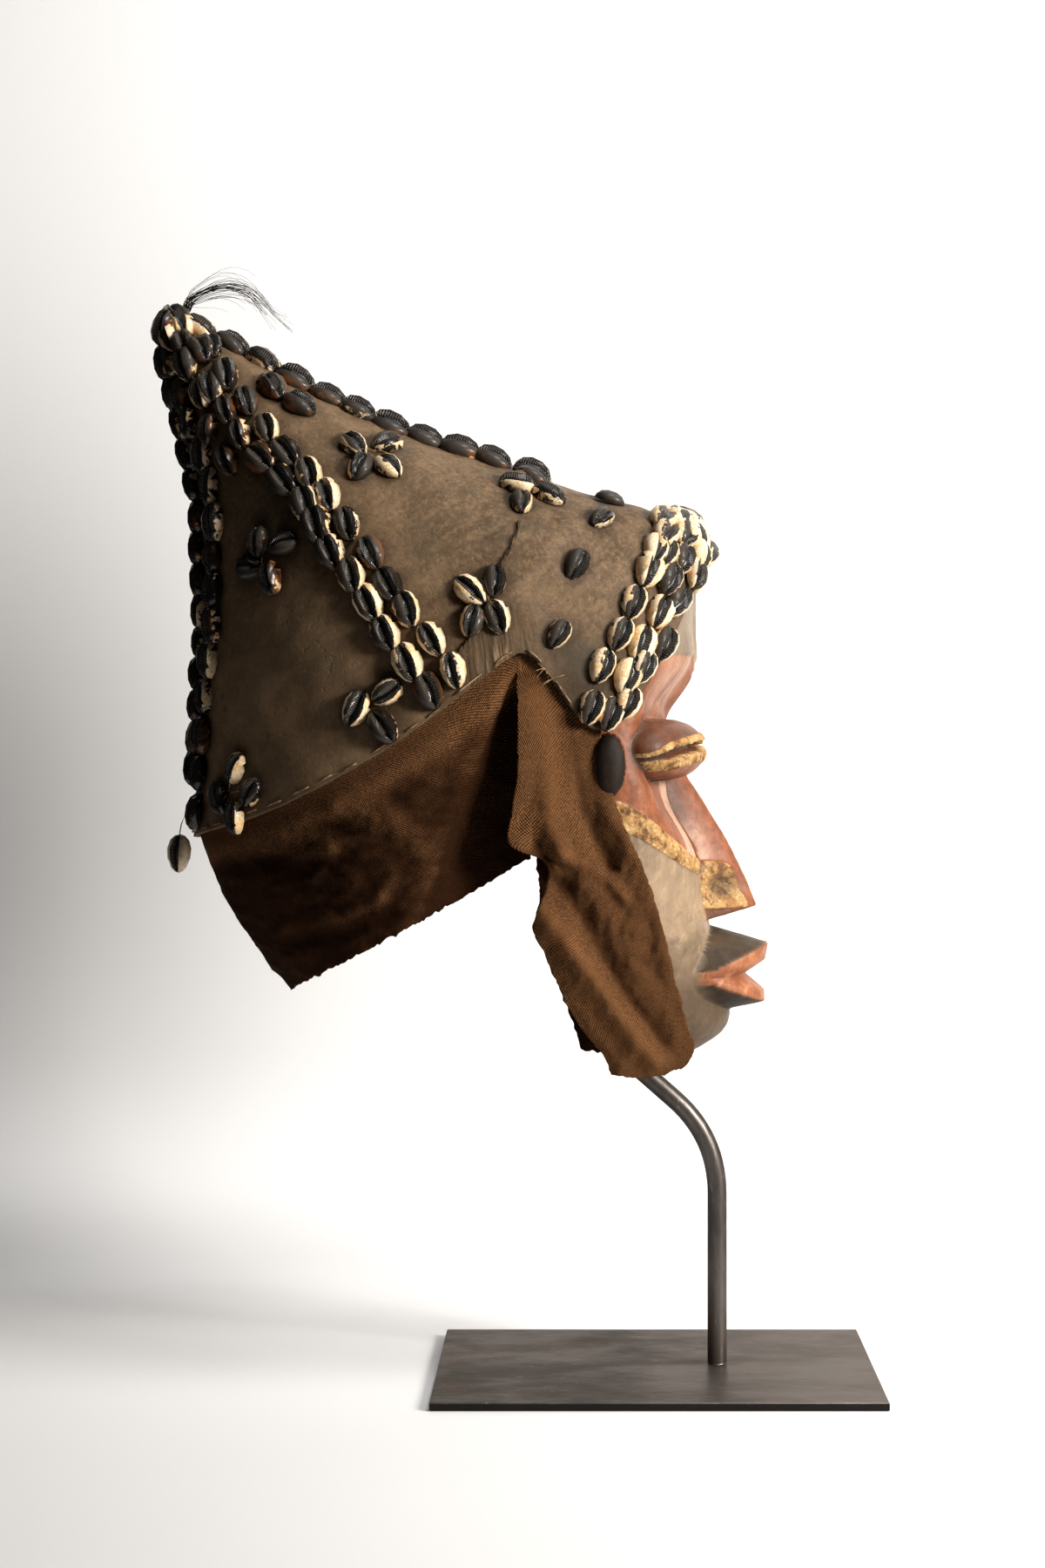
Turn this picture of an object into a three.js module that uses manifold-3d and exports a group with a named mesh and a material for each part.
// A carved African face mask under a tall leather hood sewn with cowries, on its steel stand.
// Millimetres, +Z up. +X is the way the mask faces, -Y is its right side.
// The origin is the centre of the base plate's underside.

import * as THREE from "three";
import { mergeVertices } from "three/addons/utils/BufferGeometryUtils.js";
import Module from "manifold-3d";

// Stand
const PLATE_LENGTH = 270;
const PLATE_WIDTH = 220;
const PLATE_THICKNESS = 5;
const PLATE_CHAMFER = 0.6;
const ROD_DIAMETER = 12;
const ROD_SIDES = 10;
const ROD_STEPS = 25;
const ROD_FOOT_X = 38.4;
const ROD_INSIDE_X = -45;
const ROD_TOP_Z = 540;
const LOWER_BEND_Z = 146.4;
const UPPER_BEND_Z = 219.6;
const LOWER_BEND_LENGTH = 35.4;
const UPPER_BEND_LENGTH = 27;
const FIT_GAP = 0.3;

// Wooden face: height, half-width, front and back of each level of the carved block
const FACE_BACK_X = -37;
const FACE_SECTION_POWER = 2.2;
const FACE_LEVELS = [
  [199, 20, 20, -4], [203, 25, 28, -8], [212, 35, 41, -18], [222, 44, 46, -27],
  [232, 50, 45, -33], [250, 58, 41, -37], [270, 65, 37, -37], [290, 71, 32, -37],
  [310, 75, 28, -37], [340, 80, 26, -37], [375, 83, 25, -37], [400, 81.5, 25, -37],
  [430, 77.5, 25, -37], [455, 73, 25, -37], [480, 66.5, 25.5, -37], [500, 56, 26, -37],
  [512, 43, 22, -37], [519, 28, 12, -37], [521, 18, 4, -37],
];
const FACE_TURNS = 30;
const FACE_FRONT_SHARE = 0.8;
const FACE_WIDEST = 83;
const FACE_POLE_SHARE = 0.4;
const FACE_LOW_ROWS = [199, 199, 203, 212, 222, 235];
const FACE_ROWS = { from: 249, to: 490, step: 13 };
const FACE_TOP_ROWS = [500, 512, 521, 521];
const WALL = 13;
const HOLLOW_ROWS = [214, 214, 236, 265, 300, 335, 390, 430, 465, 490, 502, 502];
const HOLLOW_TURNS = 17;
const HOLLOW_LEAST_HALF = 12;
const HOLLOW_FRONT_X = 12;
const HOLLOW_RETREAT = 20;
const HOLLOW_RETREAT_Z = { from: 270, full: 330, fullUntil: 410, to: 460 };
const HOLLOW_PAST_BACK = 20;
const DISH_DEPTH = 20;
const DISH_EDGE_LOSS = 0.85;
const DISH_EDGE_FROM = 58;
const BROW_Z = 443;
const BROW_FALL = 15;
const BROW_FALL_FROM = 45;
const BROW_SLOPE = 36;
const CHEEK_LINE_Z = 307;
const CHEEK_RISE = 47;
const CHEEK_CURVE = 2.6;
const CHEEK_SLOPE = 46;
const NOSE_ROOT = [5, 405];
const NOSE_TIP = [62, 291];
const NOSE_BACK_X = -4;
const NOSE_ROOT_HALF = 7;
const NOSTRIL_HALF = 24;
const NOSE_SIDE_X = [-2, 22];
const NOSE_WIDENING = 1.15;
const NOSE_ROUNDNESS = 1.5;
const NOSE_UNDER_SLOPE = 0.26;
const EYE_CENTRE = [7, 42, 387];
const EYE_HALF_LENGTH = 34;
const EYE_HALF_DEPTH = 21;
const EYE_HALF_HEIGHT = 18.5;
const EYE_TURN_DEGREES = 24;
const SLIT_HALF_OPENING = 1.4;
const SLIT_FLARE = 5;
const SLIT_FLOOR_SHARE = 0.45;
const MOUTH_CORNER = [25.7, 247.7];
const MOUTH_HALF_WIDTH = 40;
const MOUTH_SECTION = [
  [8, 281], [33, 278.5], [70, 267.5], [68, 257.5], [55.5, 249], [67.5, 238.5], [68, 231],
  [46, 226.5], [8, 226],
];
const EAR_CENTRE = [-28, 85, 376];
const EAR_HALF = [9, 8, 17.5];

// Leather hood: ridge and back lines in the middle plane, from the tip to the rim
const HOOD_TIP = [-306, 657];
const HOOD_INNER_TIP = [-276, 621];
const HOOD_RIDGE = [
  [-306, 657], [-284, 648], [-250, 631], [-208, 609], [-165, 588.5], [-121, 572],
  [-78, 559], [-38, 544], [-2, 535], [21, 529], [32, 507],
];
const HOOD_BACK = [
  [-306, 657], [-304, 630], [-295, 590], [-284, 545], [-282.5, 510], [-282.5, 480],
  [-283, 450], [-283.5, 422], [-284.5, 393], [-286, 363], [-287.7, 332.5],
];
const HOOD_HALF_WIDTH = 100;
const HOOD_FULL_WIDTH_AT = 0.85;
const HOOD_FRONT_POWER = [2.1, 2.6];
const HOOD_BACK_POWER = 1.7;
const LEATHER_THICKNESS = 3;
const LOBE_DROP = 72;
const LOBE_STARTS_AT = 0.74;
const LOBE_PLACE = 0.6;
const LOBE_REAR_PLACE = 0.27;
const REAR_SAG = 15;
const SAG_PLACE = -0.37;
const SAG_REACH = 0.6;
const HOOD_TURNS = 32;
const HOOD_OUTER_ROWS = [0, 0.04, 0.12, 0.2, 0.28, 0.36, 0.47, 0.59, 0.7, 0.77, 0.83, 0.89, 0.945, 1];
const HOOD_INNER_ROWS = [1, 0.94, 0.88, 0.8, 0.68, 0.5, 0.3, 0.15];

// Neck cloth: one cloth with a band round the back and a long flap at each side of the face
const CLOTH_THICKNESS = 2.4;
const CLOTH_INSET = 5.5;
const CLOTH_TUCK = 0.04;
const BAND_FRONT_X = -80;
const BAND_HEM_BACK = [-230, 237];
const BAND_HEM_FRONT = [-76, 322];
const BAND_HEM_NARROWING = 0.93;
const PLEAT_DEPTH = 34;
const PLEAT_PLACE = 0.79;
const PLEAT_HALF = 0.17;
const FLAP_REAR_EDGE = [
  [-86, 434], [-85, 391], [-87, 340], [-74.5, 284], [-65, 260.5], [-55.5, 235.5], [-36, 207],
  [-27.5, 191],
];
const FLAP_FRONT_EDGE = [
  [-40, 397], [-40, 366], [-27, 350], [-8, 313], [2, 282], [9, 255], [16, 231], [22.5, 206],
];
const FLAP_HEM_Y = 71;
const FLAP_HEM_Z = 195;
const FLAP_BULGE = 7;
const FLAP_INSET = 8;
const FLAP_TUCK = 6;
const FLAP_TUCK_SHARE = 0.2;

// Cowries
const SHELL_LENGTH = 23;
const SHELL_WIDTH = 15;
const SHELL_CROWN = 5.4;
const SHELL_BELLY = 1.4;
const SHELL_GAP = 1.1;
const ROW_STEP = 21;
const ROW_NECK = 0.45;
const RIDGE_ROW = { side: 8, from: 0.06, to: 0.59 };
const BACK_ROWS = {
  seam: { side: [8.5, 9], from: 0.05, to: 0.9 },
  rear: { side: [28, 23], from: 0.225, to: 0.985 },
};
const TIP_ROWS = {
  tip_middle: { turns: [0.255, 0.255], alongs: [0.075, 0.31] },
  tip_front: { turns: [0.19, 0.19], alongs: [0.16, 0.3] },
  tip_rear: { turns: [0.324, 0.324], alongs: [0.19, 0.272] },
};
const SLANT_ROWS = {
  slant_upper: { turns: [0.222, 0.248], alongs: [0.33, 0.965] },
  slant_lower: { turns: [0.259, 0.27], alongs: [0.34, 0.965] },
};
const FRONT_ROWS = {
  rim: { along: 0.976, alongAtEnd: 0.99, lastTurn: 0.15 },
  middle: { along: 0.918, alongAtEnd: 0.942, lastTurn: 0.16 },
  crown: { along: 0.85, alongAtEnd: 0.895, lastTurn: 0.168 },
};
const FRONT_SHELL_WIDTH = 12.5;
const ROSETTE_REACH = 12.5;
const ROSETTE_SHELL = 21;
const KNOT_SIZE = 10;
const ROSETTES = {
  crown: { along: 0.62, turn: 0.068, petals: [165, 232, -24, 86] },
  ridge: { along: 0.44, turn: 0.148, petals: [163, 21, 235, -43] },
  temple: { along: 0.835, turn: 0.2215, petals: [64, 141, 240, -53] },
  rear: { along: 0.51, turn: 0.334, petals: [116, 37, 213, -74] },
  cheek: { along: 0.912, turn: 0.302, petals: [178, 48, 236, -56] },
  nape: { along: 0.935, turn: 0.408, petals: [92, 185, 0, -88] },
};
const SINGLES = {
  brow: { along: 0.808, turn: 0.149, lean: 65 },
  side: { along: 0.888, turn: 0.183, lean: 63 },
  upper: { along: 0.761, turn: 0.093, lean: 35 },
  top: { along: 0.731, turn: 0.02, lean: 15 },
};
const HANGING_SHELL = { x: -295, y: -9, z: 324, threadTop: 348 };
const THREAD_DIAMETER = 1;
const SLOPE_STEP = 1e-3;

// Hair tuft
const HAIR_DIAMETER = 1.4;
const HAIRS = [
  [[-296, 0, 661], [-290, -1, 673], [-275, -2, 681], [-256, -3, 679], [-240, -4, 665]],
  [[-296, 0, 661], [-288, 2, 675], [-270, 4, 684], [-252, 6, 682]],
  [[-296, 0, 661], [-292, -3, 670], [-280, -6, 677], [-264, -9, 676], [-250, -12, 664]],
];

const wasm = await Module();
wasm.setup();

const lerp = (a, b, t) => a + (b - a) * t;
const clamp01 = (t) => Math.min(1, Math.max(0, t));
const smoothstep = (low, high, value) => {
  const t = clamp01((value - low) / (high - low));
  return t * t * (3 - 2 * t);
};
const power = (value, exponent) => Math.sign(value) * Math.abs(value) ** exponent;

// A smooth line through evenly numbered points, read at t from 0 to 1.
function alongLine(points, t) {
  const place = clamp01(t) * (points.length - 1);
  const from = Math.min(Math.floor(place), points.length - 2);
  const s = place - from;
  const [p0, p1, p2, p3] = [from - 1, from, from + 1, from + 2].map(
    (index) => points[Math.min(Math.max(index, 0), points.length - 1)],
  );
  return p1.map((value, k) => {
    const rise = (p2[k] - p0[k]) / 2;
    const fall = (p3[k] - value) / 2;
    return value + rise * s + (3 * (p2[k] - value) - 2 * rise - fall) * s * s
      + (2 * (value - p2[k]) + rise + fall) * s * s * s;
  });
}

// Turns a closed geometry into a solid with shared vertices.
function solidOf(geometry) {
  const bare = geometry.index ? geometry.toNonIndexed() : geometry.clone();
  bare.deleteAttribute("normal");
  bare.deleteAttribute("uv");
  const merged = mergeVertices(bare, 1e-3);
  return new wasm.Manifold(new wasm.Mesh({
    numProp: 3,
    vertProperties: merged.getAttribute("position").array,
    triVerts: new Uint32Array(merged.index.array),
  }));
}

function geometryOf(solid) {
  const mesh = solid.getMesh();
  const geometry = new THREE.BufferGeometry();
  geometry.setAttribute("position", new THREE.BufferAttribute(mesh.vertProperties, 3));
  geometry.setIndex(new THREE.BufferAttribute(mesh.triVerts, 1));
  geometry.computeVertexNormals();
  return geometry;
}

// A closed skin of rows between two poles; place(row, turn) puts each of its points.
function wrap(rows, turns, place) {
  const profile = Array.from({ length: rows + 1 }, (_, row) => new THREE.Vector2(
    Math.sin((Math.PI * row) / rows),
    -Math.cos((Math.PI * row) / rows),
  ));
  const geometry = new THREE.LatheGeometry(profile, turns);
  const position = geometry.getAttribute("position");
  for (let index = 0; index < position.count; index += 1) {
    const row = index % (rows + 1);
    const turn = Math.floor(index / (rows + 1)) % turns;
    position.setXYZ(index, ...place(row, turn / turns));
  }
  return geometry;
}

// A thin slab of even thickness; place(across, down) puts its middle surface, both from 0 to 1.
function slab(columns, rows, thickness, place) {
  const geometry = new THREE.BoxGeometry(1, 1, 1, columns, rows, 1);
  const position = geometry.getAttribute("position");
  for (let index = 0; index < position.count; index += 1) {
    const across = position.getX(index) + 0.5;
    const down = 0.5 - position.getY(index);
    const middle = new THREE.Vector3(...place(across, down));
    const ahead = across < 0.5 ? SLOPE_STEP : -SLOPE_STEP;
    const below = down < 0.5 ? SLOPE_STEP : -SLOPE_STEP;
    const u = new THREE.Vector3(...place(across + ahead, down)).sub(middle).divideScalar(ahead);
    const v = new THREE.Vector3(...place(across, down + below)).sub(middle).divideScalar(below);
    const normal = v.cross(u).normalize();
    middle.addScaledVector(normal, position.getZ(index) * thickness);
    position.setXYZ(index, middle.x, middle.y, middle.z);
  }
  return geometry;
}

// The mirrored half of a solid that is built for the mask's right side.
function otherSide(solid) {
  return solid.scale([1, -1, 1]);
}

// Stand

function plateGeometry() {
  const halfX = PLATE_LENGTH / 2 - PLATE_CHAMFER;
  const halfY = PLATE_WIDTH / 2 - PLATE_CHAMFER;
  const outline = new THREE.Shape([
    new THREE.Vector2(-halfX, -halfY),
    new THREE.Vector2(halfX, -halfY),
    new THREE.Vector2(halfX, halfY),
    new THREE.Vector2(-halfX, halfY),
  ]);
  return new THREE.ExtrudeGeometry(outline, {
    depth: PLATE_THICKNESS - 2 * PLATE_CHAMFER,
    bevelThickness: PLATE_CHAMFER,
    bevelSize: PLATE_CHAMFER,
    bevelSegments: 1,
  }).translate(0, 0, PLATE_CHAMFER);
}

function rodGeometry() {
  const slant = new THREE.Vector3(
    ROD_INSIDE_X - ROD_FOOT_X,
    0,
    UPPER_BEND_Z - LOWER_BEND_Z,
  ).normalize();
  const up = new THREE.Vector3(0, 0, 1);
  const lowerCorner = new THREE.Vector3(ROD_FOOT_X, 0, LOWER_BEND_Z);
  const upperCorner = new THREE.Vector3(ROD_INSIDE_X, 0, UPPER_BEND_Z);
  const foot = new THREE.Vector3(ROD_FOOT_X, 0, PLATE_THICKNESS + FIT_GAP);
  const top = new THREE.Vector3(ROD_INSIDE_X, 0, ROD_TOP_Z);
  const route = new THREE.CurvePath();
  const lowerStart = lowerCorner.clone().addScaledVector(up, -LOWER_BEND_LENGTH);
  const lowerEnd = lowerCorner.clone().addScaledVector(slant, LOWER_BEND_LENGTH);
  const upperStart = upperCorner.clone().addScaledVector(slant, -UPPER_BEND_LENGTH);
  const upperEnd = upperCorner.clone().addScaledVector(up, UPPER_BEND_LENGTH);
  route.add(new THREE.LineCurve3(foot, lowerStart));
  route.add(new THREE.QuadraticBezierCurve3(lowerStart, lowerCorner, lowerEnd));
  route.add(new THREE.LineCurve3(lowerEnd, upperStart));
  route.add(new THREE.QuadraticBezierCurve3(upperStart, upperCorner, upperEnd));
  route.add(new THREE.LineCurve3(upperEnd, top));
  const section = new THREE.Shape();
  section.absarc(0, 0, ROD_DIAMETER / 2, 0, 2 * Math.PI, false);
  return new THREE.ExtrudeGeometry(section, {
    steps: ROD_STEPS,
    curveSegments: ROD_SIDES / 2,
    extrudePath: route,
    bevelEnabled: false,
  });
}

// Wooden face

function faceLevel(z) {
  const last = FACE_LEVELS.length - 1;
  let index = FACE_LEVELS.findIndex((level) => level[0] > z);
  if (index < 1) index = index === 0 ? 1 : last;
  const [z0, half0, front0, back0] = FACE_LEVELS[index - 1];
  const [z1, half1, front1, back1] = FACE_LEVELS[index];
  const t = clamp01((z - z0) / (z1 - z0));
  return { half: lerp(half0, half1, t), front: lerp(front0, front1, t), back: lerp(back0, back1, t) };
}

// How far the heart-shaped eye field is carved back at a place on the face.
function dishDepth(y, z) {
  const side = Math.abs(y);
  const top = BROW_Z - BROW_FALL * clamp01((side - BROW_FALL_FROM) / (FACE_WIDEST - BROW_FALL_FROM)) ** 2;
  const bottom = CHEEK_LINE_Z + CHEEK_RISE * (side / FACE_WIDEST) ** CHEEK_CURVE;
  const brow = smoothstep(0, BROW_SLOPE, top - z);
  const cheek = smoothstep(0, CHEEK_SLOPE, z - bottom);
  const edge = 1 - DISH_EDGE_LOSS * smoothstep(DISH_EDGE_FROM, FACE_WIDEST, side);
  return DISH_DEPTH * brow * cheek * edge;
}

function faceOuter() {
  const levels = [...FACE_LOW_ROWS];
  for (let z = FACE_ROWS.from; z < FACE_ROWS.to; z += FACE_ROWS.step) levels.push(z);
  levels.push(...FACE_TOP_ROWS);
  return wrap(levels.length - 1, FACE_TURNS, (row, turn) => {
    const z = levels[row];
    const { half, front, back } = faceLevel(z);
    if (row === 0 || row === levels.length - 1) return [lerp(back, front, FACE_POLE_SHARE), 0, z];
    if (turn >= FACE_FRONT_SHARE) {
      const across = (turn - FACE_FRONT_SHARE) / (1 - FACE_FRONT_SHARE);
      return [back, lerp(half, -half, across), z];
    }
    const angle = (turn / FACE_FRONT_SHARE - 0.5) * Math.PI;
    const y = half * power(Math.sin(angle), 2 / FACE_SECTION_POWER);
    const depth = power(Math.max(Math.cos(angle), 0), 2 / FACE_SECTION_POWER);
    const x = lerp(back, front, depth);
    return [x - dishDepth(y, z) * depth, y, z];
  });
}

function faceHollow() {
  const openX = FACE_BACK_X - HOLLOW_PAST_BACK;
  const { from, full, fullUntil, to } = HOLLOW_RETREAT_Z;
  return wrap(HOLLOW_ROWS.length - 1, HOLLOW_TURNS, (row, turn) => {
    const z = HOLLOW_ROWS[row];
    if (row === 0 || row === HOLLOW_ROWS.length - 1) return [FACE_BACK_X, 0, z];
    const inner = Math.max(faceLevel(z).half - WALL, HOLLOW_LEAST_HALF);
    if (turn >= FACE_FRONT_SHARE) {
      const across = (turn - FACE_FRONT_SHARE) / (1 - FACE_FRONT_SHARE);
      return [openX, lerp(inner, -inner, across), z];
    }
    const retreat = smoothstep(from, full, z) * smoothstep(to, fullUntil, z);
    const front = HOLLOW_FRONT_X - HOLLOW_RETREAT * retreat;
    const angle = (turn / FACE_FRONT_SHARE - 0.5) * Math.PI;
    const depth = Math.max(Math.cos(angle), 0);
    return [lerp(openX, front, Math.sqrt(depth)), inner * Math.sin(angle), z];
  });
}

// The nose wedge: a ridge from root to tip that widens into two nostril wings.
function noseSolid() {
  const geometry = new THREE.BoxGeometry(2, 1, 1, 6, 6, 1);
  const position = geometry.getAttribute("position");
  for (let index = 0; index < position.count; index += 1) {
    const across = position.getX(index);
    const down = 0.5 - position.getY(index);
    const ridgeX = lerp(NOSE_ROOT[0], NOSE_TIP[0], down);
    const ridgeZ = lerp(NOSE_ROOT[1], NOSE_TIP[1], down);
    const half = lerp(NOSE_ROOT_HALF, NOSTRIL_HALF, down ** NOSE_WIDENING);
    const sideX = lerp(...NOSE_SIDE_X, down);
    if (position.getZ(index) < 0) {
      const underZ = NOSE_TIP[1] - (NOSE_TIP[0] - NOSE_BACK_X) * NOSE_UNDER_SLOPE;
      position.setXYZ(index, NOSE_BACK_X, across * half, lerp(NOSE_ROOT[1], underZ, down));
      continue;
    }
    const x = lerp(ridgeX, sideX, Math.abs(across) ** NOSE_ROUNDNESS);
    const z = ridgeZ - (ridgeX - x) * NOSE_UNDER_SLOPE * down;
    position.setXYZ(index, x, across * half, z);
  }
  return solidOf(geometry);
}

// The right eye is a coffee bean whose slit opens towards both ends.
function eyeSolid() {
  const bean = new THREE.SphereGeometry(1, 12, 8);
  bean.rotateX(Math.PI / 2);
  bean.scale(EYE_HALF_DEPTH, EYE_HALF_LENGTH, EYE_HALF_HEIGHT);
  const slit = new THREE.BoxGeometry(EYE_HALF_DEPTH * 2, EYE_HALF_LENGTH * 2.4, 1, 1, 6, 1);
  const position = slit.getAttribute("position");
  for (let index = 0; index < position.count; index += 1) {
    const along = Math.abs(position.getY(index)) / EYE_HALF_LENGTH;
    const open = SLIT_HALF_OPENING + SLIT_FLARE * along ** 3;
    position.setZ(index, Math.sign(position.getZ(index)) * open);
  }
  slit.translate(EYE_HALF_DEPTH * (1 + SLIT_FLOOR_SHARE), 0, 0);
  const eye = solidOf(bean).subtract(solidOf(slit));
  return eye.rotate([0, 0, EYE_TURN_DEGREES]).translate(EYE_CENTRE);
}

// The beak-like mouth: one section in the middle plane that closes to a corner at each side.
function mouthSolid() {
  const rows = 10;
  const turns = MOUTH_SECTION.length;
  return solidOf(wrap(rows, turns, (row, turn) => {
    const angle = Math.PI * (row / rows - 0.5);
    const [x, z] = MOUTH_SECTION[Math.round(turn * turns) % turns];
    const reach = row === 0 || row === rows ? 0 : Math.cos(angle);
    return [
      lerp(MOUTH_CORNER[0], x, reach),
      MOUTH_HALF_WIDTH * Math.sin(angle),
      lerp(MOUTH_CORNER[1], z, reach),
    ];
  }));
}

function earSolid() {
  const ear = new THREE.SphereGeometry(1, 8, 6);
  ear.scale(...EAR_HALF);
  ear.translate(...EAR_CENTRE);
  return solidOf(ear);
}

function faceSolid() {
  const eye = eyeSolid();
  const ear = earSolid();
  return solidOf(faceOuter())
    .add(noseSolid())
    .add(mouthSolid())
    .add(eye)
    .add(otherSide(eye))
    .add(ear)
    .add(otherSide(ear))
    .subtract(solidOf(faceHollow()));
}

// Leather hood

// How far the rim hangs below the hood's mouth plane, by place from the back, -1, to the front, 1.
function rimDrop(place) {
  const front = clamp01(1 - (Math.max(place - LOBE_PLACE, 0) / (1 - LOBE_PLACE)) ** 2);
  const lobe = LOBE_DROP * smoothstep(LOBE_REAR_PLACE, LOBE_PLACE, place) * front;
  const sag = REAR_SAG * clamp01(1 - ((place - SAG_PLACE) / SAG_REACH) ** 2);
  return lobe + sag;
}

// A point of the hood. along runs from the tip, 0, to the rim, 1. turn is 0 at the front of the
// ridge, a quarter on the mask's right side, a half at the back. inset moves it into the hood.
function hoodPoint(along, turn, inset = 0) {
  const ridge = alongLine(HOOD_RIDGE, along);
  const back = alongLine(HOOD_BACK, along);
  const angle = 2 * Math.PI * turn;
  const reachX = (ridge[0] - back[0]) / 2;
  const reachZ = (ridge[1] - back[1]) / 2;
  const reach = Math.max(Math.hypot(reachX, reachZ), 1e-6);
  const shrink = Math.max(reach - inset, 0) / reach;
  const frontPower = lerp(...HOOD_FRONT_POWER, along);
  const exponent = 2 / (Math.cos(angle) > 0 ? frontPower : HOOD_BACK_POWER);
  const forward = power(Math.cos(angle), exponent);
  const sideways = power(Math.sin(angle), exponent);
  const widening = Math.sin((Math.PI / 2) * clamp01(along / HOOD_FULL_WIDTH_AT));
  const half = Math.max(HOOD_HALF_WIDTH * widening - inset, 0);
  const drop = rimDrop(forward) * smoothstep(LOBE_STARTS_AT, 1, along);
  return [
    (ridge[0] + back[0]) / 2 + reachX * shrink * forward,
    -half * sideways,
    (ridge[1] + back[1]) / 2 + reachZ * shrink * forward - drop,
  ];
}

function hoodSolid() {
  const rows = [
    ...HOOD_OUTER_ROWS.map((along) => [along, 0]),
    ...HOOD_INNER_ROWS.map((along) => [along, LEATHER_THICKNESS]),
  ];
  return solidOf(wrap(rows.length, HOOD_TURNS, (row, turn) => {
    if (row === 0) return [HOOD_TIP[0], 0, HOOD_TIP[1]];
    if (row === rows.length) return [HOOD_INNER_TIP[0], 0, HOOD_INNER_TIP[1]];
    const [along, inset] = rows[row];
    return hoodPoint(along, turn, inset);
  }));
}

// The turn at which the rim passes a place along X.
function rimTurnAt(x) {
  const frontX = HOOD_RIDGE.at(-1)[0];
  const middle = (frontX + HOOD_BACK.at(-1)[0]) / 2;
  const forward = (x - middle) / (frontX - middle);
  const cosine = power(forward, (forward > 0 ? HOOD_FRONT_POWER[1] : HOOD_BACK_POWER) / 2);
  return Math.acos(cosine) / (2 * Math.PI);
}

// Neck cloth

// How far the right flap stands from the middle plane at a height.
function flapHalfWidth(rim, z) {
  const down = clamp01((rim[2] - z) / (rim[2] - FLAP_HEM_Z));
  return lerp(-rim[1], FLAP_HEM_Y, down) + FLAP_BULGE * Math.sin(Math.PI * down);
}

// The right flap. across runs from its rear edge to the face, down from under the rim to the hem.
function flapPoint(across, down) {
  const rear = alongLine(FLAP_REAR_EDGE, down);
  const front = alongLine(FLAP_FRONT_EDGE, down);
  const x = lerp(rear[0], front[0], across);
  const rim = hoodPoint(1, rimTurnAt(Math.min(x, FACE_BACK_X)), FLAP_INSET);
  const straight = lerp(FLAP_REAR_EDGE[0][1], FLAP_FRONT_EDGE[0][1], across);
  const lift = (rim[2] + FLAP_TUCK - straight) * (1 - smoothstep(0, FLAP_TUCK_SHARE, down));
  const z = lerp(rear[1], front[1], across) + lift;
  return [x, -flapHalfWidth(rim, Math.min(z, rim[2])), z];
}

// The band from the right pleat round the back to the left pleat. down runs from rim to hem.
function bandPoint(across, down) {
  const foldTurn = rimTurnAt(BAND_FRONT_X);
  const turn = lerp(foldTurn, 1 - foldTurn, across);
  const rim = hoodPoint(1, turn, CLOTH_INSET);
  if (down < CLOTH_TUCK) return hoodPoint(1 - (CLOTH_TUCK - down), turn, CLOTH_INSET);
  const t = (down - CLOTH_TUCK) / (1 - CLOTH_TUCK);
  const backX = HOOD_BACK.at(-1)[0];
  const place = clamp01((rim[0] - backX) / (BAND_FRONT_X - backX));
  const pleat = PLEAT_DEPTH * t * smoothstep(PLEAT_HALF, 0, Math.abs(place - PLEAT_PLACE));
  const hemX = lerp(BAND_HEM_BACK[0], BAND_HEM_FRONT[0], place);
  const hemZ = lerp(BAND_HEM_BACK[1], BAND_HEM_FRONT[1], place);
  const hemY = rim[1] * BAND_HEM_NARROWING;
  const y = lerp(rim[1], hemY, t);
  return [lerp(rim[0], hemX, t), y - Math.sign(y) * pleat, lerp(rim[2], hemZ, t)];
}

function clothSolid() {
  const band = solidOf(slab(36, 3, CLOTH_THICKNESS, bandPoint));
  const flap = solidOf(slab(4, 8, CLOTH_THICKNESS, flapPoint));
  return band.add(flap).add(otherSide(flap));
}

// Cowries

// How a hood point moves per unit of along and of turn.
function hoodSlopes(along, turn) {
  const slope = (ahead, behind) => new THREE.Vector3(...ahead)
    .sub(new THREE.Vector3(...behind))
    .divideScalar(2 * SLOPE_STEP);
  return {
    perAlong: slope(hoodPoint(along + SLOPE_STEP, turn), hoodPoint(along - SLOPE_STEP, turn)),
    perTurn: slope(hoodPoint(along, turn + SLOPE_STEP), hoodPoint(along, turn - SLOPE_STEP)),
  };
}

function hoodNormal(along, turn) {
  const { perAlong, perTurn } = hoodSlopes(along, turn);
  return perTurn.cross(perAlong).normalize();
}

// The turn at which the hood is a given distance to the right of its middle plane.
function turnAtSide(along, side, behind) {
  const half = -hoodPoint(along, 0.25)[1];
  const sectionPower = behind ? HOOD_BACK_POWER : lerp(...HOOD_FRONT_POWER, along);
  const sine = Math.min(side / half, 1) ** (sectionPower / 2);
  const turn = Math.asin(sine) / (2 * Math.PI);
  return behind ? 0.5 - turn : turn;
}

// One cowrie lying on the hood, its long way along the given axis: two six-sided cones, base to base.
function cowrie(along, turn, axis, length = SHELL_LENGTH, width = SHELL_WIDTH) {
  const normal = hoodNormal(along, turn);
  const long = axis.clone().addScaledVector(normal, -axis.dot(normal)).normalize();
  const shell = new THREE.SphereGeometry(1, 6, 2);
  shell.rotateY(Math.PI / 6);
  const position = shell.getAttribute("position");
  for (let index = 0; index < position.count; index += 1) {
    const height = position.getY(index);
    position.setY(index, height * (height > 0 ? SHELL_CROWN : SHELL_BELLY));
  }
  shell.scale(length / Math.sqrt(3), 1, width / 2);
  const frame = new THREE.Matrix4().makeBasis(long, normal, long.clone().cross(normal));
  const centre = new THREE.Vector3(...hoodPoint(along, turn))
    .addScaledVector(normal, SHELL_GAP + SHELL_BELLY);
  frame.setPosition(centre);
  return solidOf(shell.applyMatrix4(frame));
}

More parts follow.
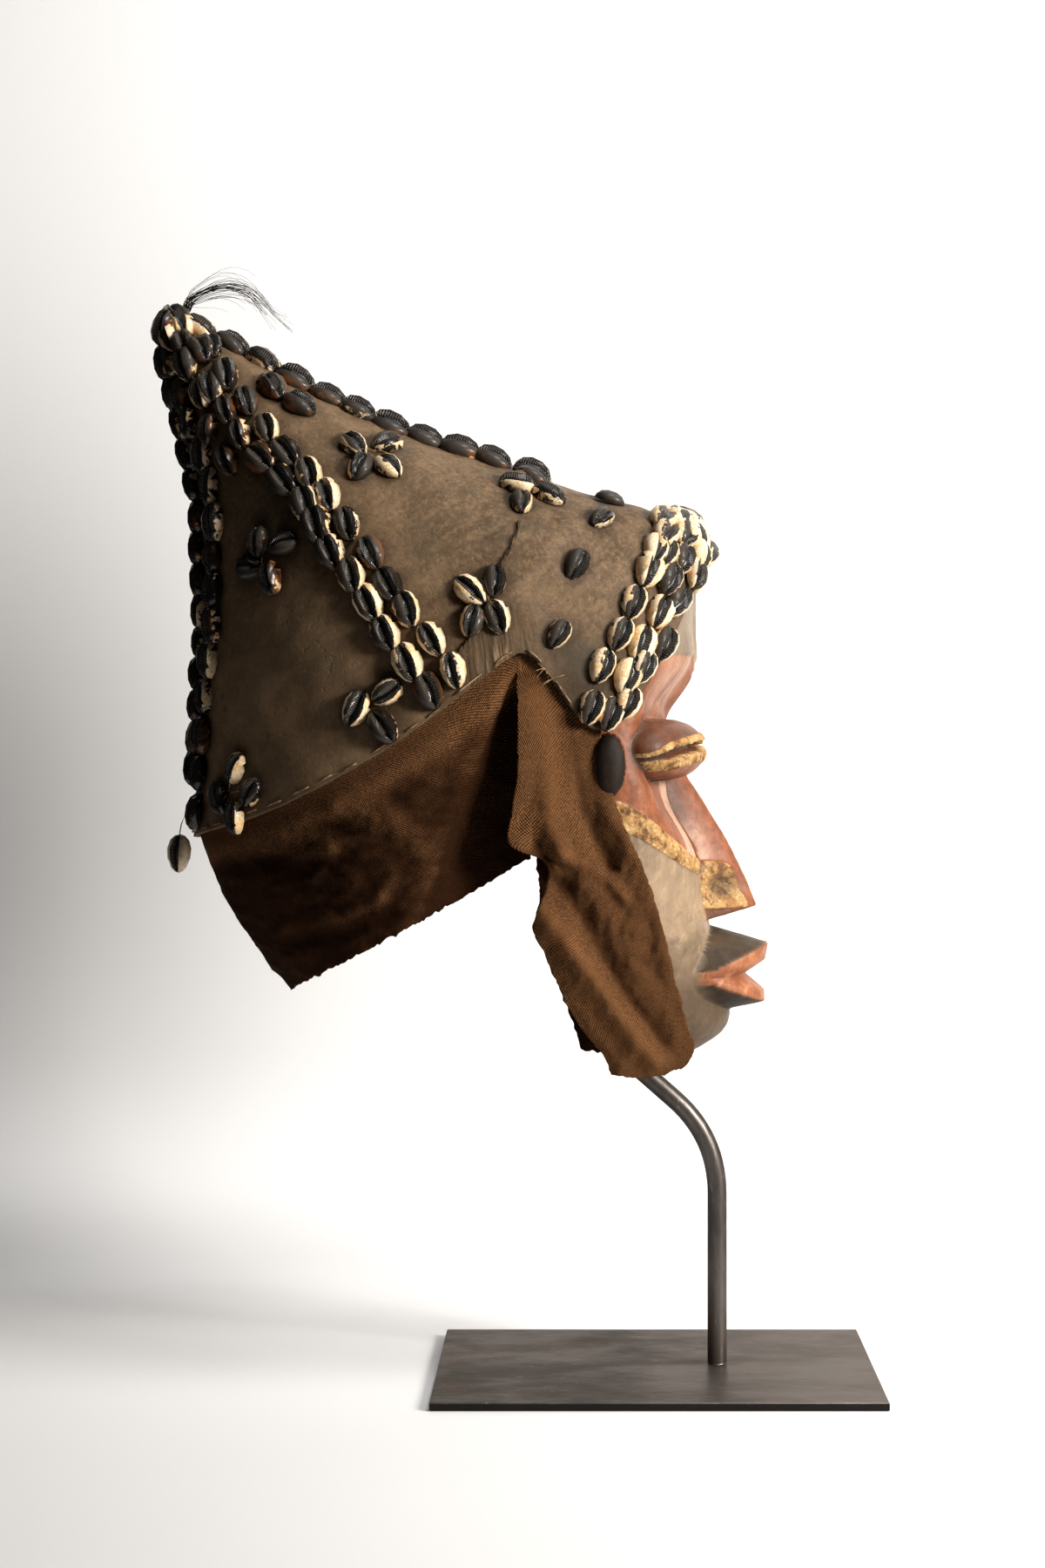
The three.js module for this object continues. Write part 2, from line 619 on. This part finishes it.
function sideAxis(degrees) {
  const angle = THREE.MathUtils.degToRad(degrees);
  return new THREE.Vector3(Math.cos(angle), 0, Math.sin(angle));
}

// Places along a hood line at even steps; line(t) gives along and turn for t from 0 to 1.
function evenPlaces(line, count) {
  const samples = 240;
  const points = Array.from({ length: samples + 1 }, (_, k) => new THREE.Vector3(
    ...hoodPoint(...line(k / samples)),
  ));
  const lengths = [0];
  for (let k = 1; k <= samples; k += 1) {
    lengths.push(lengths[k - 1] + points[k].distanceTo(points[k - 1]));
  }
  return Array.from({ length: count + 1 }, (_, n) => {
    const target = (lengths[samples] * n) / count - 1e-6;
    const k = Math.max(lengths.findIndex((length) => length >= target), 1);
    return line((k - (lengths[k] - target) / (lengths[k] - lengths[k - 1])) / samples);
  });
}

function lineLength(line) {
  const samples = 60;
  const points = Array.from({ length: samples + 1 }, (_, k) => new THREE.Vector3(
    ...hoodPoint(...line(k / samples)),
  ));
  return points.slice(1).reduce((sum, point, k) => sum + point.distanceTo(points[k]), 0);
}

// A row of cowries touching end to end: each has a wide middle and narrow ends.
function cowrieRow(line, width = SHELL_WIDTH) {
  const shells = Math.max(Math.round(lineLength(line) / ROW_STEP), 2);
  const places = evenPlaces(line, 2 * shells);
  const points = places.map((place) => new THREE.Vector3(...hoodPoint(...place)));
  const corners = [[-1, 0], [0, 1], [1, 0]];
  return solidOf(wrap(places.length - 1, corners.length, (row, turn) => {
    const normal = hoodNormal(...places[row]);
    const next = points[Math.min(row + 1, points.length - 1)];
    const before = points[Math.max(row - 1, 0)];
    const sideways = next.clone().sub(before).cross(normal).normalize();
    const [side, up] = corners[Math.round(turn * corners.length) % corners.length];
    const end = row === 0 || row === places.length - 1;
    const size = row % 2 === 1 ? 1 : ROW_NECK;
    const across = end ? 0 : (side * size * width) / 2;
    const height = SHELL_GAP + (end ? SHELL_BELLY : up * size * (SHELL_CROWN + SHELL_BELLY));
    return points[row].clone().addScaledVector(normal, height).addScaledVector(sideways, across);
  }));
}

function joined(solids) {
  return solids.reduce((whole, solid) => whole.add(solid));
}

function ridgeLine(t) {
  const along = lerp(RIDGE_ROW.from, RIDGE_ROW.to, t);
  return [along, turnAtSide(along, RIDGE_ROW.side, false)];
}

function backLine({ side, from, to }) {
  return (t) => {
    const along = lerp(from, to, t);
    return [along, turnAtSide(along, lerp(...side, t), true)];
  };
}

function sideLine({ turns, alongs }) {
  return (t) => [lerp(...alongs, t), lerp(...turns, t)];
}

function frontLine({ along, alongAtEnd, lastTurn }) {
  return (t) => {
    const turn = lerp(-lastTurn, lastTurn, t);
    return [lerp(along, alongAtEnd, Math.abs(turn) / lastTurn), turn];
  };
}

// The shells of a rosette: a middle knot and petals that point away from it at the given angles.
function rosetteShells({ along, turn, petals }) {
  const { perAlong, perTurn } = hoodSlopes(along, turn);
  const across = new THREE.Vector3().crossVectors(perAlong, perTurn);
  const normal = hoodNormal(along, turn);
  const share = (a, b) => new THREE.Vector3().crossVectors(a, b).dot(across) / across.lengthSq();
  const knot = cowrie(along, turn, sideAxis(90), KNOT_SIZE, KNOT_SIZE);
  return [knot, ...petals.map((degrees) => {
    const axis = sideAxis(degrees);
    const reach = axis.clone().addScaledVector(normal, -axis.dot(normal)).setLength(ROSETTE_REACH);
    const place = [along + share(reach, perTurn), turn + share(perAlong, reach)];
    return cowrie(...place, axis, ROSETTE_SHELL);
  })];
}

function threadGeometry(from, to) {
  const route = new THREE.LineCurve3(from, to);
  const section = new THREE.Shape();
  section.absarc(0, 0, THREAD_DIAMETER / 2, 0, 2 * Math.PI, false);
  return new THREE.ExtrudeGeometry(section, {
    steps: 1,
    curveSegments: 3,
    extrudePath: route,
    bevelEnabled: false,
  });
}

function hangingShellSolid() {
  const { x, y, z, threadTop } = HANGING_SHELL;
  const shell = new THREE.SphereGeometry(1, 8, 5);
  shell.rotateX(Math.PI / 2);
  shell.scale(SHELL_CROWN, SHELL_WIDTH / 2, SHELL_LENGTH / 2 + 1);
  shell.translate(x, y, z);
  const thread = threadGeometry(
    new THREE.Vector3(x, y, z + SHELL_LENGTH / 4),
    new THREE.Vector3(x + 3, y, threadTop),
  );
  return solidOf(shell).add(solidOf(thread));
}

// Hair tuft

function hairSolid() {
  return joined(HAIRS.map((points) => {
    const route = new THREE.CatmullRomCurve3(points.map((point) => new THREE.Vector3(...point)));
    const section = new THREE.Shape();
    section.absarc(0, 0, HAIR_DIAMETER / 2, 0, 2 * Math.PI, false);
    return solidOf(new THREE.ExtrudeGeometry(section, {
      steps: 6,
      curveSegments: 2,
      extrudePath: route,
      bevelEnabled: false,
    }));
  }));
}

// Node colours and finishes
const MATERIALS = {
  steel: new THREE.MeshStandardMaterial({ color: 0x4a4543, roughness: 0.45, metalness: 0.9 }),
  wood: new THREE.MeshStandardMaterial({ color: 0x8a5a45, roughness: 0.6, metalness: 0 }),
  leather: new THREE.MeshStandardMaterial({ color: 0x6b5a4a, roughness: 0.75, metalness: 0 }),
  cloth: new THREE.MeshStandardMaterial({ color: 0x5a3a1e, roughness: 0.95, metalness: 0 }),
  shell: new THREE.MeshStandardMaterial({ color: 0x2b2a28, roughness: 0.25, metalness: 0 }),
  hair: new THREE.MeshStandardMaterial({ color: 0x15120f, roughness: 0.5, metalness: 0 }),
};

const group = new THREE.Group();

function addNode(name, geometry, material) {
  const mesh = new THREE.Mesh(geometry, MATERIALS[material]);
  mesh.name = name;
  group.add(mesh);
}

// A shell group of the right side and its mirrored twin.
function addPair(name, right) {
  addNode(`${name}_right`, geometryOf(right), "shell");
  addNode(`${name}_left`, geometryOf(otherSide(right)), "shell");
}

addNode("base_plate", plateGeometry(), "steel");
addNode("support_rod", rodGeometry(), "steel");
addNode("wooden_face", geometryOf(faceSolid()), "wood");
addNode("leather_hood", geometryOf(hoodSolid()), "leather");
addNode("neck_cloth", geometryOf(clothSolid()), "cloth");
for (const [name, row] of Object.entries(FRONT_ROWS)) {
  const solid = cowrieRow(frontLine(row), FRONT_SHELL_WIDTH);
  addNode(`front_${name}_cowries`, geometryOf(solid), "shell");
}
addPair("ridge_cowries", cowrieRow(ridgeLine));
for (const [name, row] of Object.entries(BACK_ROWS)) {
  addPair(`back_${name}_cowries`, cowrieRow(backLine(row)));
}
for (const [name, row] of Object.entries({ ...TIP_ROWS, ...SLANT_ROWS })) {
  addPair(`${name}_cowries`, cowrieRow(sideLine(row)));
}
for (const [name, rosette] of Object.entries(ROSETTES)) {
  addPair(`${name}_rosette`, joined(rosetteShells(rosette)));
}
for (const [name, { along, turn, lean }] of Object.entries(SINGLES)) {
  addPair(`${name}_cowrie`, cowrie(along, turn, sideAxis(lean)));
}
addNode("hanging_cowrie", geometryOf(hangingShellSolid()), "shell");
addNode("hair_tuft", geometryOf(hairSolid()), "hair");

export default group;
